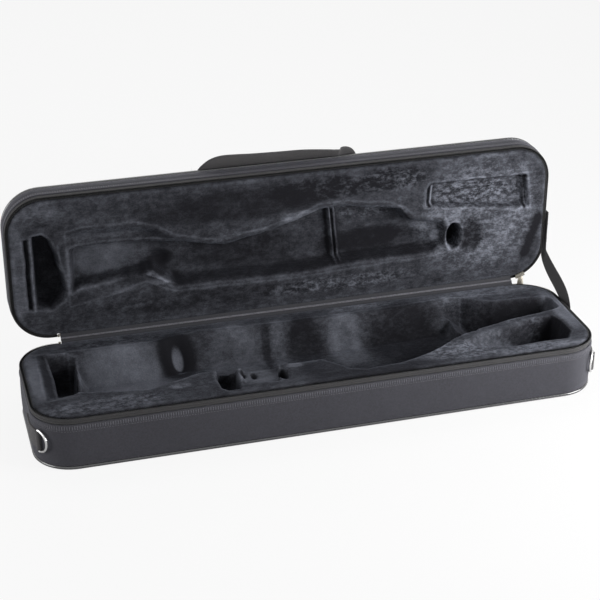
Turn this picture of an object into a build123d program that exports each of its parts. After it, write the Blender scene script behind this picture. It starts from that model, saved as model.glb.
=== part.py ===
from build123d import *
import os
from dataclasses import dataclass
from math import cos, radians, sin

os.makedirs("parts", exist_ok=True)

# Outside sizes of the case. X runs along its length, -Y is the side that opens,
# +Y the hinge side, +Z up. The origin is the middle of the base's underside.
case_length = 720.0
case_width = 193.0
corner_radius = 49.0
base_height = 70.6
lid_depth = 36.0

# Layers of each half, from the outside in
cover = 1.4            # woven cover with its backing
shell_wall = 4.0       # rigid board shell
fit = 0.1              # glue line between two layers
insert_wall = 3.6      # inset of the plush block from the outside, at the rim
insert_lip = 6.0       # round of the plush at the rim

# The zip, measured down from the rim
coil_radius = 1.15
coil_inset = 2.2
coil_drop = 1.35
tape = 1.0
tape_inset = 1.6
tape_end = 13.0
hem_start = 12.0
hem_end = 16.5
hem_proud = 0.6
stop_length = 3.0
stop_size = 2.8

# Piping round the outer edge of each half
piping_radius = 2.2
piping_inset = 1.2
piping_drop = 2.6

# Fabric hinge along the back. The lid turns about the middle of a round binding.
hinge_out = 3.0        # the axis stands this far outside the back wall
rim_gap = 1.2          # between the two rims when the case is closed
binding_radius = 2.4
leaf = 1.1
leaf_end = 23.0
leaf_start = 1.4
hinge_short = 6.0      # the zip ends this far inside the straight of the back wall
leaf_short = 4.0

# Webbing
ring_web = 24.0
ring_web_thick = 2.4
ring_web_length = 46.0
ring_height = 35.0     # middle of the rings above the ground
ring_wire = 1.6
ring_bow = 14.0
ring_turn = 33.0       # how far round the corner, from the end wall, a ring's bar stands
loop_wall = 1.2
loop_play = 0.3
stay_web = 15.0
stay_thick = 1.6
stay_off = 0.1
stay_patch = 15.0      # length of the stay's folded ends
stay_foot_y = 19.0     # where the lower end is sewn on the base
stay_foot_drop = 34.0
stay_bend_drop = 14.0  # first bend, still below the base's rim
stay_rise_y = 47.0     # second bend, just over the rim
stay_rise = 8.0
stay_fold_in = 4.0     # fold beside the hinge
stay_fold_rise = 22.0
stay_turn_rise = 44.0  # from here the stay lies along the lid's end wall
stay_top_rise = 96.0
stay_bends = (12.0, 20.0, 30.0, 22.0)
handle_web = 25.0
handle_thick = 2.2
handle_patch_thick = 2.4
handle_span = 196.0    # between the middles of the handle's two ends
handle_shift = -6.0
handle_rise = 28.0     # middle line of the grip above the pivot
handle_bend = 20.0
handle_patch_length = 27.0
handle_pivot_down = 31.0   # pivot below the lid's front wall

# The zip's slider and its pull
slider_arc = 15.5      # degrees of the corner that the slider spans
slider_at = 70.0       # degrees round the corner, from the end wall
slider_plate = 1.7
slider_clear = 0.3
slider_inner = 1.0
slider_top = 0.65
slider_depth = 7.0
pull_length = 20.0
pull_width = 6.4
pull_thick = 1.6
pull_neck = 4.0        # length of the narrow neck below the eye
pull_round = 2.0
pin_radius = 0.8
pin_play = 0.3
eye_wall = 0.9
cheek = 0.8
cheek_gap = 3.2

# Plush block of the base
base_well_depth = 42.0
bell_depth = 54.0
bay_depth = 46.0
shelf_depth = 28.0
well_round = 8.0
floor_round = 6.0
bay_near = 158.0       # the bay's two ends, from the block's right wall
bay_far = 20.0
divider_near = 63.0    # the divider's two ends, from the block's front wall
divider_far = 95.0
divider_thick = 8.0
divider_down = 3.0
divider_play = 0.4

# Plush block of the lid
lid_well_depth = 24.0
lid_recess_depth = 14.0
neck_hole_radius = 12.0
neck_hole_depth = 28.0

half_length = case_length / 2
half_width = case_width / 2
hinge_end = half_length - corner_radius - hinge_short
axis_y = half_width + hinge_out
axis_z = base_height + rim_gap / 2
lid_rim_y = axis_y + rim_gap / 2
lid_low_z = axis_z + hinge_out
lid_mid_z = lid_low_z + half_width


@dataclass
class Half:
    """One half of the case: its rim, and which way its depth runs from that rim."""
    name: str
    rim: Plane
    into: int
    depth: float

    def level(self, depth):
        return self.rim.offset(self.into * depth)

    def run(self, near, far):
        return self.into * (far - near)


base = Half("base", Plane.XY.offset(base_height), -1, base_height)
lid = Half("lid", Plane(origin=(0, lid_rim_y, lid_mid_z), x_dir=(1, 0, 0), z_dir=(0, 1, 0)), 1, lid_depth)
halves = (base, lid)


def outline(inset, mode=Mode.ADD):
    """The case's plan, drawn in by an inset."""
    RectangleRounded(case_length - 2 * inset, case_width - 2 * inset, corner_radius - inset, mode=mode)


def band(outer, inner):
    """The plan as a ring between two insets."""
    outline(outer)
    outline(inner, Mode.SUBTRACT)


def leave_hinge_open():
    """Takes the hinge's stretch of the back wall out of a ring."""
    with Locations((0, half_width)):
        Rectangle(2 * hinge_end, corner_radius, mode=Mode.SUBTRACT)


# Rigid shell: walls and floor of board, with a rabbet for the piping round the outer edge
# and an upstand behind the hinge
shell_inset = cover + 2 * fit
shell_top = tape_end + fit
rabbet = 2 * piping_drop - fit
shell_floor_inset = piping_inset + piping_radius + 0.3
for half in halves:
    bottom = half.depth - cover - fit
    with BuildPart() as shell:
        with BuildSketch(half.level(shell_top)):
            outline(shell_inset)
        extrude(amount=half.run(shell_top, half.depth - rabbet))
        with BuildSketch(half.level(half.depth - rabbet)):
            outline(shell_floor_inset)
        extrude(amount=half.run(half.depth - rabbet, bottom))
        with BuildSketch(half.level(shell_top)):
            outline(shell_inset + shell_wall)
        extrude(amount=half.run(shell_top, bottom - shell_wall), mode=Mode.SUBTRACT)
        with BuildSketch(half.level(leaf_start + 2 * fit)):
            with Locations((0, half_width - (shell_inset + insert_wall - fit) / 2)):
                Rectangle(2 * (hinge_end - leaf_short), insert_wall - fit - shell_inset)
        extrude(amount=half.run(leaf_start + 2 * fit, shell_top))
    shell.part.label = f"{half.name}_shell"
    export_step(shell.part, f"parts/{half.name}_shell.step")

# Woven side cover, from the piping up to the hem
for half in halves:
    start = hem_end + fit
    with BuildPart() as side_cover:
        with BuildSketch(half.level(start)):
            band(0, cover)
        extrude(amount=half.run(start, half.depth - rabbet))
    side_cover.part.label = f"{half.name}_side_cover"
    export_step(side_cover.part, f"parts/{half.name}_side_cover.step")

# Panel of the same cloth over the large outer face
for half in halves:
    with BuildPart() as face_cover:
        with BuildSketch(half.level(half.depth - cover)):
            outline(shell_floor_inset)
        extrude(amount=half.run(half.depth - cover, half.depth))
    face_cover.part.label = f"{half.name}_face_cover"
    export_step(face_cover.part, f"parts/{half.name}_face_cover.step")

# Vinyl piping in the seam between the side cover and the panel
for half in halves:
    x, y = half_length - piping_inset, half_width - piping_inset
    with BuildPart() as piping:
        with BuildLine(half.level(half.depth - piping_drop)) as seam:
            corners = [(x, y), (-x, y), (-x, -y), (x, -y)]
            FilletPolyline(*corners, radius=corner_radius - piping_inset, close=True)
        with BuildSketch(Plane(origin=seam.wire() @ 0, z_dir=seam.wire() % 0)):
            Circle(piping_radius)
        sweep(path=seam.wire())
    piping.part.label = f"{half.name}_piping"
    export_step(piping.part, f"parts/{half.name}_piping.step")

# Hem: the side cover's folded edge, where the zip's tape goes under it
for half in halves:
    with BuildPart() as hem:
        with BuildSketch(half.level(hem_start)):
            band(-hem_proud, tape_inset - fit)
            leave_hinge_open()
        extrude(amount=half.run(hem_start, hem_end))
    hem.part.label = f"{half.name}_hem"
    export_step(hem.part, f"parts/{half.name}_hem.step")

# Zip tape standing along the rim, open at the hinge
tape_start = coil_drop + coil_radius + fit
for half in halves:
    with BuildPart() as zip_tape:
        with BuildSketch(half.level(tape_start)):
            band(tape_inset, tape_inset + tape)
            leave_hinge_open()
        extrude(amount=half.run(tape_start, tape_end))
    zip_tape.part.label = f"{half.name}_zip_tape"
    export_step(zip_tape.part, f"parts/{half.name}_zip_tape.step")

# Half of the zip's coil on the tape's edge
for half in halves:
    x, y = half_length - coil_inset, half_width - coil_inset
    with BuildPart() as zip_coil:
        with BuildLine(half.level(coil_drop)) as edge:
            corners = [(hinge_end, y), (x, y), (x, -y), (-x, -y), (-x, y), (-hinge_end, y)]
            FilletPolyline(*corners, radius=corner_radius - coil_inset)
        with BuildSketch(Plane(origin=edge.wire() @ 0, z_dir=edge.wire() % 0)):
            Circle(coil_radius)
        sweep(path=edge.wire())
    zip_coil.part.label = f"{half.name}_zip_coil"
    export_step(zip_coil.part, f"parts/{half.name}_zip_coil.step")

# Metal stops clamped at the two ends of each coil
for half in halves:
    start = coil_drop - stop_size / 2
    with BuildPart() as zip_stops:
        with BuildSketch(half.level(start)):
            stop_x = hinge_end - stop_length / 2 - fit
            with Locations((stop_x, half_width - coil_inset), (-stop_x, half_width - coil_inset)):
                RectangleRounded(stop_length, stop_size, stop_size / 4)
        extrude(amount=half.run(start, start + stop_size))
    zip_stops.part.label = f"{half.name}_zip_stops"
    export_step(zip_stops.part, f"parts/{half.name}_zip_stops.step")

# Fabric hinge: a leaf sewn on each back wall, thick above the side cover and thin over it
for half in halves:
    thick_end = hem_end
    leaf_width = 2 * (hinge_end - leaf_short)
    with BuildPart() as hinge_leaf:
        with BuildSketch(half.level(leaf_start)):
            with Locations((0, half_width + fit + leaf)):
                Rectangle(leaf_width, shell_inset + leaf, align=(Align.CENTER, Align.MAX))
        extrude(amount=half.run(leaf_start, thick_end))
        with BuildSketch(half.level(thick_end)):
            with Locations((0, half_width + fit + leaf)):
                Rectangle(leaf_width, leaf, align=(Align.CENTER, Align.MAX))
        extrude(amount=half.run(thick_end, leaf_end))
    hinge_leaf.part.label = f"{half.name}_hinge_leaf"
    export_step(hinge_leaf.part, f"parts/{half.name}_hinge_leaf.step")

# Round binding in the fold of the hinge, on the axis that the lid turns about
with BuildPart() as hinge_binding:
    with BuildSketch(Plane(origin=(0, axis_y, axis_z), x_dir=(0, 1, 0), z_dir=(1, 0, 0))):
        Circle(binding_radius)
    extrude(amount=hinge_end - leaf_short, both=True)
hinge_binding.part.label = "hinge_binding"
export_step(hinge_binding.part, "parts/hinge_binding.step")

# Places inside the plush blocks are given from the block's own walls
insert_floor_inset = shell_inset + shell_wall + fit
block_x = half_length - insert_floor_inset
block_y = half_width - insert_floor_inset


def left(distance):
    return -block_x + distance


def right(distance):
    return block_x - distance


def back(distance):
    return block_y - distance


def front(distance):
    return -block_y + distance


def plush_block(half):
    """The uncut block: a step inside the shell's walls and a round lip at the rim."""
    floor = half.depth - cover - shell_wall - 3 * fit
    with BuildPart() as block:
        with BuildSketch(half.level(0)):
            outline(insert_wall)
        extrude(amount=half.run(0, shell_top - fit))
        rim_axis = Axis(half.rim.origin, half.rim.z_dir * -half.into)
        fillet(block.faces().sort_by(rim_axis)[-1].edges(), insert_lip)
        with BuildSketch(half.level(shell_top - fit)):
            outline(insert_floor_inset)
        extrude(amount=half.run(shell_top - fit, floor))
    return block.part


def pocket(half, points, depth, corner=well_round, floor=floor_round):
    """A moulded pocket as the solid that it takes out of the block."""
    over = insert_lip
    with BuildPart() as space:
        with BuildSketch(half.level(depth)) as plan:
            with BuildLine():
                Polyline(*points, close=True)
            make_face()
            fillet(plan.vertices(), corner)
        extrude(amount=half.run(depth, -over))
        rim_axis = Axis(half.rim.origin, half.rim.z_dir * -half.into)
        fillet(space.faces().sort_by(rim_axis)[0].edges(), floor)
    return space.part


def bay_points(play):
    """The bay's outline, drawn in by the play that a piece standing in it has."""
    near, far = right(bay_near - play), right(bay_far + play)
    return [
        (near, front(24 + play)), (right(32 + play), front(22 + play)), (far, front(60)), (far, back(48)),
        (right(44), back(36 + play)), (right(120), back(23 + play)), (near, back(23 + play)),
    ]


# Plush block of the base. From left to right: a deep pocket for the bell, the long well
# for the body with two hollows for its keys at the front, and the bay at the narrow end.
bell_pocket = pocket(base, [
    (left(30), front(48)), (left(72), front(48)), (left(72), back(28)), (left(30), back(36)),
], bell_depth)
body_well = pocket(base, [
    (left(66), front(46)), (left(155), front(37)), (-43, front(37)), (-38, front(54)), (20, front(54)),
    (26, front(37)), (right(189), front(37)), (right(172), front(66)), (right(140), front(66)),
    (right(140), back(24)), (left(230), back(8)), (left(70), back(26)),
], base_well_depth)
narrow_bay = pocket(base, bay_points(0), bay_depth)
key_shelf = pocket(base, [
    (-108, front(19)), (-54, front(19)), (-54, front(50)), (-108, front(50)),
], shelf_depth)
key_slot = pocket(base, [
    (-136, front(27)), (-114, front(27)), (-114, front(52)), (-136, front(52)),
], shelf_depth)
with BuildPart() as base_insert:
    add(plush_block(base))
    for space in (bell_pocket, body_well, narrow_bay, key_shelf, key_slot):
        add(space, mode=Mode.SUBTRACT)
base_insert.part.label = "base_insert"
export_step(base_insert.part, "parts/base_insert.step")

# Plush-covered board that stands across the bay and parts it from the body's narrow end
divider_ends = ((right(bay_near), front(divider_near)), (right(bay_far), front(divider_far)))
with BuildPart() as bay_divider:
    add(pocket(base, bay_points(divider_play), bay_depth - fit))
    with BuildSketch(base.level(bay_depth)):
        with BuildLine():
            Line(*divider_ends)
        trace(line_width=divider_thick)
    extrude(amount=bay_depth - divider_down, mode=Mode.INTERSECT)
bay_divider.part.label = "bay_divider"
export_step(bay_divider.part, "parts/bay_divider.step")

# Plush block of the lid: the bell's pocket, the long trough, the round hole for the
# narrow end and the shallow recess for small things
lid_bell = pocket(lid, [
    (left(22), front(44)), (left(64), front(52)), (left(64), back(34)), (left(22), back(36)),
], lid_well_depth)
lid_trough = pocket(lid, [
    (left(70), front(68)), (left(172), front(66)), (left(255), front(81)), (14, front(65)),
    (43, front(48)), (62, front(48)), (right(204), front(61)), (right(184), front(79)),
    (right(110), front(92)), (right(110), back(52)), (right(146), back(45)), (left(194), back(46)),
    (left(154), back(71)), (left(70), back(71)),
], lid_well_depth)
lid_recess = pocket(lid, [
    (right(161), front(30)), (right(26), front(30)), (right(26), front(74)), (right(161), front(74)),
], lid_recess_depth, corner=4.0, floor=3.0)
with BuildPart() as lid_insert:
    add(plush_block(lid))
    for space in (lid_bell, lid_trough, lid_recess):
        add(space, mode=Mode.SUBTRACT)
    with BuildSketch(lid.level(0)):
        with Locations((right(128), back(72))):
            Circle(neck_hole_radius)
    extrude(amount=neck_hole_depth, mode=Mode.SUBTRACT)
lid_insert.part.label = "lid_insert"
export_step(lid_insert.part, "parts/lid_insert.step")

# On each end wall of the base a webbing tab holds a D-ring at the front corner
corner_x = half_length - corner_radius
corner_y = -half_width + corner_radius
loop_inner = ring_wire + loop_play
loop_outer = loop_inner + loop_wall
bar_reach = corner_radius + fit + loop_outer
bar_x = corner_x + bar_reach * cos(radians(ring_turn))
bar_y = corner_y - bar_reach * sin(radians(ring_turn))
tab_back = bar_y + ring_web_length
for side, side_name in ((-1, "left"), (1, "right")):
    with BuildPart() as ring_tab:
        with BuildSketch(Plane.XY.offset(ring_height - ring_web / 2)):
            band(-ring_web_thick - fit, -fit)
            with Locations((side * half_length, (bar_y + tab_back) / 2)):
                Rectangle(corner_radius, tab_back - bar_y, mode=Mode.INTERSECT)
            with Locations((side * bar_x, bar_y)):
                Circle(loop_outer)
                Circle(loop_inner, mode=Mode.SUBTRACT)
        extrude(amount=ring_web)
    ring_tab.part.label = f"{side_name}_ring_tab"
    export_step(ring_tab.part, f"parts/{side_name}_ring_tab.step")

    # The ring: a straight bar through the tab's loop and a half-round bow
    with BuildPart() as d_ring:
        with BuildSketch(Plane.XY.offset(-ring_bow)):
            Circle(ring_wire)
        extrude(amount=2 * ring_bow)
        with BuildLine(Plane.XZ) as bow:
            CenterArc((0, 0), ring_bow, -90, 180)
        with BuildSketch(Plane(origin=bow.wire() @ 0, z_dir=bow.wire() % 0)):
            Circle(ring_wire)
        sweep(path=bow.wire())
        with Locations((0, 0, -ring_bow), (0, 0, ring_bow)):
            Sphere(ring_wire)
    hanging_ring = d_ring.part.moved(Pos(side * bar_x, bar_y, ring_height) * Rot(0, 0, -90 - side * ring_turn))
    hanging_ring.label = f"{side_name}_d_ring"
    export_step(hanging_ring, f"parts/{side_name}_d_ring.step")

# Slack stay of flat webbing outside the right end walls: from the lid's end wall down to a
# fold beside the hinge, and forward to the base's end wall
stay_x = half_length + hem_proud + stay_off
stay_plane = Plane(origin=(stay_x, 0, 0), x_dir=(0, 1, 0), z_dir=(1, 0, 0))
stay_lid_y = lid_rim_y + stay_web / 2
stay_route = (
    (stay_foot_y, base_height - stay_foot_drop),
    (stay_foot_y, base_height - stay_bend_drop),
    (stay_rise_y, base_height + stay_rise),
    (lid_rim_y - stay_fold_in, lid_low_z + stay_fold_rise),
    (stay_lid_y, lid_low_z + stay_turn_rise),
    (stay_lid_y, lid_low_z + stay_top_rise),
)
with BuildPart() as stay_strap:
    with BuildSketch(stay_plane):
        with BuildLine():
            FilletPolyline(*stay_route, radius=stay_bends)
        trace(line_width=stay_web)
    extrude(amount=stay_thick)
stay_strap.part.label = "stay_strap"
export_step(stay_strap.part, "parts/stay_strap.step")

# Folded ends of the stay: one sewn on the base's side cover, the other in the seam of the
# lid's zip tape
with BuildPart() as base_stay_end:
    with BuildSketch(Plane(origin=(half_length + fit, 0, 0), x_dir=(0, 1, 0), z_dir=(1, 0, 0))):
        with Locations(stay_route[0]):
            Rectangle(stay_web, stay_patch, align=(Align.CENTER, Align.MIN))
    extrude(amount=stay_x - half_length - 2 * fit)
base_stay_end.part.label = "base_stay_end"
export_step(base_stay_end.part, "parts/base_stay_end.step")

tape_face_x = half_length - tape_inset + fit
with BuildPart() as lid_stay_end:
    with BuildSketch(Plane(origin=(tape_face_x, 0, 0), x_dir=(0, 1, 0), z_dir=(1, 0, 0))):
        with Locations((lid_rim_y + tape_start, stay_route[-1][1])):
            Rectangle(hem_start - tape_start - fit, stay_patch, align=(Align.MIN, Align.MAX))
    extrude(amount=stay_x - tape_face_x - fit)
lid_stay_end.part.label = "lid_stay_end"
export_step(lid_stay_end.part, "parts/lid_stay_end.step")

# Carrying handle: two webbing ends sewn on the lid's outer face, and the grip that rises
# from them past the lid's front wall
lid_face_y = lid_rim_y + lid_depth
lid_high_z = lid_low_z + case_width
pivot_z = lid_high_z - handle_pivot_down
grip_y = lid_face_y + fit + handle_patch_thick + fit + handle_thick / 2
handle_ends = (handle_shift - handle_span / 2, handle_shift + handle_span / 2)
with BuildPart() as handle_patches:
    with BuildSketch(Plane(origin=(0, lid_face_y + fit, 0), x_dir=(1, 0, 0), z_dir=(0, 1, 0))):
        with Locations(*[(x, -(pivot_z - handle_patch_length / 2 - fit)) for x in handle_ends]):
            Rectangle(handle_web, handle_patch_length)
    extrude(amount=handle_patch_thick)
handle_patches.part.label = "handle_patches"
export_step(handle_patches.part, "parts/handle_patches.step")

with BuildPart() as handle_grip:
    with BuildSketch(Plane(origin=(0, grip_y - handle_thick / 2, 0), x_dir=(1, 0, 0), z_dir=(0, 1, 0))):
        with BuildLine():
            foot = -(pivot_z + fit)
            top = -(pivot_z + handle_rise)
            corners = [(handle_ends[0], foot), (handle_ends[0], top), (handle_ends[1], top), (handle_ends[1], foot)]
            FilletPolyline(*corners, radius=handle_bend)
        trace(line_width=handle_web)
    extrude(amount=handle_thick)
handle_grip.part.label = "handle_grip"
export_step(handle_grip.part, "parts/handle_grip.step")

# Zip slider on the lid's coil at the corner beside the hinge: a saddle over the coil, with
# two cheeks and a pin outside it for the pull
corner_z = lid_low_z + corner_radius
corner_line = Axis((corner_x, lid_rim_y, corner_z), (0, -1, 0))
coil_outer = corner_radius - coil_inset + coil_radius
plate_in = coil_outer + slider_clear
plate_out = plate_in + slider_plate
saddle_in = corner_radius - coil_inset - coil_radius - slider_clear
saddle_y = coil_drop - coil_radius - slider_clear


def out_at(degrees_round, radius):
    """A point this far from the corner's middle, at an angle round it from the end wall."""
    turn = radians(degrees_round)
    return corner_x + radius * cos(turn), corner_z - radius * sin(turn)


first = radians(slider_at + slider_arc / 2)
section = Plane(
    origin=(corner_x, lid_rim_y, corner_z),
    x_dir=(cos(first), 0, -sin(first)),
    z_dir=(sin(first), 0, cos(first)),
)
pin_reach = plate_out + pin_radius + pin_play + eye_wall + pin_play
pin_x, pin_z = out_at(slider_at, pin_reach)
middle_y = slider_depth / 2
middle = radians(slider_at)
out_plane_x = (cos(middle), 0, -sin(middle))
with BuildPart() as zip_slider:
    with BuildSketch(section):
        with Locations((plate_in, saddle_y - slider_top)):
            Rectangle(slider_plate, slider_depth + slider_top - saddle_y, align=Align.MIN)
        with Locations((saddle_in - slider_inner, saddle_y - slider_top)):
            Rectangle(plate_out - saddle_in + slider_inner, slider_top, align=Align.MIN)
        with Locations((saddle_in - slider_inner, saddle_y - slider_top)):
            Rectangle(slider_inner, 2 * coil_radius, align=Align.MIN)
    revolve(axis=corner_line, revolution_arc=slider_arc)
    for offset in (-cheek_gap / 2 - cheek, cheek_gap / 2):
        cheek_plane = Plane(
            origin=(corner_x, lid_rim_y + middle_y + offset, corner_z), x_dir=out_plane_x, z_dir=(0, 1, 0))
        with BuildSketch(cheek_plane):
            with Locations((plate_out - slider_plate / 2, 0)):
                Rectangle(pin_reach - plate_out + slider_plate / 2, 3 * pin_radius, align=(Align.MIN, Align.CENTER))
            with Locations((pin_reach, 0)):
                Circle(1.5 * pin_radius)
        extrude(amount=cheek)
    with BuildSketch(Plane(origin=(pin_x, lid_rim_y + middle_y, pin_z), x_dir=(1, 0, 0), z_dir=(0, 1, 0))):
        Circle(pin_radius)
    extrude(amount=cheek_gap / 2 + cheek / 2, both=True)
zip_slider.part.label = "zip_slider"
export_step(zip_slider.part, "parts/zip_slider.step")

# The slider's pull: an eye round the pin and a tab that hangs from it
eye_outer = pin_radius + pin_play + eye_wall
neck_width = cheek_gap - 2 * fit
with BuildPart() as slider_pull:
    with BuildSketch(Plane(origin=(pin_x, lid_rim_y + middle_y, pin_z), x_dir=(1, 0, 0), z_dir=(0, 1, 0))):
        Circle(eye_outer)
        with Locations((0, pull_length / 2)):
            Rectangle(pull_thick, pull_length)
        Circle(pin_radius + pin_play, mode=Mode.SUBTRACT)
    extrude(amount=pull_width / 2, both=True)
    with BuildSketch(Plane(origin=(pin_x, 0, pin_z), x_dir=(0, 1, 0), z_dir=(1, 0, 0))) as blade:
        with Locations((lid_rim_y + middle_y, eye_outer)):
            Rectangle(neck_width, eye_outer + pull_neck + pull_round, align=(Align.CENTER, Align.MAX))
        with Locations((lid_rim_y + middle_y, -pull_neck)):
            Rectangle(pull_width, pull_length - pull_neck, align=(Align.CENTER, Align.MAX))
        fillet(blade.vertices().group_by(Axis.Y)[0], pull_round)
    extrude(amount=eye_outer, both=True, mode=Mode.INTERSECT)
slider_pull.part.label = "slider_pull"
export_step(slider_pull.part, "parts/slider_pull.step")
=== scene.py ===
import itertools
import math

import bmesh
import bpy
import numpy as np
from mathutils import Matrix, Vector, noise


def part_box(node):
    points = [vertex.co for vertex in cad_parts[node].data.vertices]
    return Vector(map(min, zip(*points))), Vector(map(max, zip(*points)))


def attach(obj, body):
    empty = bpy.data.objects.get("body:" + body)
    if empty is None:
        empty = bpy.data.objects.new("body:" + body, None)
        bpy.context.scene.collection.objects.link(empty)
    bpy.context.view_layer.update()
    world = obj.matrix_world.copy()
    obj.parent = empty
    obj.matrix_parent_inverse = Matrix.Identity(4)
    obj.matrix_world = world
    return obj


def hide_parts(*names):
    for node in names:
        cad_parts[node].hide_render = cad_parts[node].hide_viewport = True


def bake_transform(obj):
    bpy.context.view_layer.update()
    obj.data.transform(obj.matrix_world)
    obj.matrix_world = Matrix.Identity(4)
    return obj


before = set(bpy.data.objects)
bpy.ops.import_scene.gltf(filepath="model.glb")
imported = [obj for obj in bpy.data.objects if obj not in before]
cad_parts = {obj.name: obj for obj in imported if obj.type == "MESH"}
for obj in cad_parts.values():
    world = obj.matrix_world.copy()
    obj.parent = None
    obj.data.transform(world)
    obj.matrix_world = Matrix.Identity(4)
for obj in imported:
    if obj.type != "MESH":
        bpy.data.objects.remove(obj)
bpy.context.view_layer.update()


# The photographer's table: a white sheet under a white sky. Three wide soft lamps light the
# case, from over the right front, from the left and from behind, and the camera stands to
# its front left and looks down on it.
mm = 0.001
camera_at = (-486.9 * mm, -1659.9 * mm, 1004.7 * mm)
camera_right = 15.91      # degrees to the right of straight at the case's front
camera_down = 26.71       # degrees below level
camera_lens = 93.4
table_half = 6.0
table_white = 0.86
table_glow = 0.87         # share of plain white that the camera sees in the table
sky_light = 0.27
lamps_face = Vector((0, 0, 0.1))
lamps = (
    # name, place and width in metres, and watts
    ("lamp_right", (0.92, -0.52, 0.36), 0.6, 14.0),
    ("lamp_left", (-1.90, -0.25, 0.55), 1.1, 14.0),
    ("lamp_behind", (0.20, 1.30, 1.80), 1.6, 9.0),
)


class Wire:
    """A socket in a material. Arithmetic with wires and numbers adds Math nodes to it."""

    def __init__(self, tree, socket=None):
        self.tree = tree
        self.socket = socket

    def node(self, kind, settings=None, sockets=None, out=0):
        """Adds a node: its settings are made first, then its sockets get values or wires."""
        made = self.tree.nodes.new(kind)
        for name, value in (settings or {}).items():
            if name == "stops":
                for step, (place, shade) in zip(made.color_ramp.elements, value):
                    step.position = place
                    step.color = (shade, shade, shade, 1)
            else:
                setattr(made, name, value)
        for name, value in (sockets or {}).items():
            if isinstance(value, Wire):
                self.tree.links.new(value.socket, made.inputs[name])
            else:
                made.inputs[name].default_value = value
        return Wire(self.tree, made.outputs[out])

    def math(self, operation, *values):
        return self.node("ShaderNodeMath", {"operation": operation}, dict(enumerate(values)))

    def __add__(self, other):
        return self.math("ADD", self, other)

    def __radd__(self, other):
        return self.math("ADD", other, self)

    def __sub__(self, other):
        return self.math("SUBTRACT", self, other)

    def __rsub__(self, other):
        return self.math("SUBTRACT", other, self)

    def __mul__(self, other):
        return self.math("MULTIPLY", self, other)

    def __rmul__(self, other):
        return self.math("MULTIPLY", other, self)

    def __truediv__(self, other):
        return self.math("DIVIDE", self, other)

    def __gt__(self, other):
        return self.math("GREATER_THAN", self, other)

    def between(self, low, high):
        """0 at low, 1 at high, and smooth in between."""
        settings = {"interpolation_type": "SMOOTHSTEP", "clamp": True}
        return self.node("ShaderNodeMapRange", settings, {0: self, 1: low, 2: high})

    def shade(self, dark, light):
        """A colour that goes from dark to light as this wire goes from 0 to 1."""
        settings = {"data_type": "RGBA", "clamp_factor": True}
        return self.node("ShaderNodeMix", settings, {0: self, 6: (*dark, 1), 7: (*light, 1)}, out=2)

    def feed(self, surface, name):
        self.tree.links.new(self.socket, surface.inputs[name])


def new_finish(name, settings):
    """A material with those fixed settings, its surface, and a wire to draw its pattern with."""
    material = bpy.data.materials.new(name)
    material.use_nodes = True
    surface = material.node_tree.nodes["Principled BSDF"]
    for socket, value in settings.items():
        surface.inputs[socket].default_value = value
    return material, surface, Wire(material.node_tree)


table_shape = bmesh.new()
bmesh.ops.create_grid(table_shape, x_segments=1, y_segments=1, size=table_half)
table_mesh = bpy.data.meshes.new("table")
table_shape.to_mesh(table_mesh)
table_shape.free()
table_cloth, table_surface, wire = new_finish("table_white", {
    "Base Color": (table_white, table_white, table_white, 1), "Roughness": 0.9, "Specular IOR Level": 0.0})
seen = wire.node("ShaderNodeLightPath", out=0)
glow = wire.node("ShaderNodeEmission", sockets={"Color": (1, 1, 1, 1), "Strength": 1.0})
lit = Wire(table_cloth.node_tree, table_surface.outputs[0])
table_look = wire.node("ShaderNodeMixShader", sockets={0: seen * table_glow, 1: lit, 2: glow})
table_look.feed(table_cloth.node_tree.nodes["Material Output"], "Surface")
table_mesh.materials.append(table_cloth)
table = bpy.data.objects.new("table", table_mesh)
bpy.context.collection.objects.link(table)

sky = bpy.data.worlds.new("sky")
sky.use_nodes = True
bpy.context.scene.world = sky
rays = sky.node_tree.nodes.new("ShaderNodeLightPath")
seen, shine, through = (
    Wire(sky.node_tree, rays.outputs[f"Is {name} Ray"]) for name in ("Camera", "Glossy", "Transmission"))
plain = seen.math("MAXIMUM", seen, shine.math("MAXIMUM", shine, through))
background = sky.node_tree.nodes["Background"]
background.inputs["Color"].default_value = (1, 1, 1, 1)
(sky_light + plain * (1 - sky_light)).feed(background, "Strength")

for lamp_name, lamp_at, lamp_size, lamp_watts in lamps:
    lamp = bpy.data.lights.new(lamp_name, "AREA")
    lamp.size = lamp_size
    lamp.energy = lamp_watts
    lamp_object = bpy.data.objects.new(lamp_name, lamp)
    lamp_object.location = lamp_at
    lamp_object.rotation_euler = (lamps_face - Vector(lamp_at)).to_track_quat("-Z", "Y").to_euler()
    lamp_object.visible_camera = False
    bpy.context.collection.objects.link(lamp_object)

camera = bpy.data.cameras.new("camera")
camera.lens = camera_lens
camera.sensor_width = 36.0
camera_object = bpy.data.objects.new("camera", camera)
camera_object.location = camera_at
camera_object.rotation_euler = (math.radians(90 - camera_down), 0, math.radians(-camera_right))
bpy.context.collection.objects.link(camera_object)
bpy.context.scene.camera = camera_object
bpy.context.scene.view_settings.view_transform = "Standard"


# The two shells: boxes of thin poplar ply with rounded corners, that give the case its
# stiffness. Cloth and plush hide them, so the solids keep their shape and get bare wood.
rim_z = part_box("base_insert")[1].z
rim_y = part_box("lid_insert")[0].y
lid_low, lid_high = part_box("lid_side_cover")
lid_middle = (lid_low.z + lid_high.z) / 2
base_depth = rim_z
lid_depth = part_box("lid_face_cover")[1].y - rim_y
half_length = lid_high.x
half_width = (lid_high.z - lid_low.z) / 2
corner = 49 * mm


class Half:
    """One half of the case. Its pieces are drawn as a plan, x along the case and y across
    it as when it is shut, with z the depth below the rim, and then set in their place."""

    def __init__(self, name, depth, place):
        self.name = name
        self.depth = depth
        self.place = place


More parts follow.
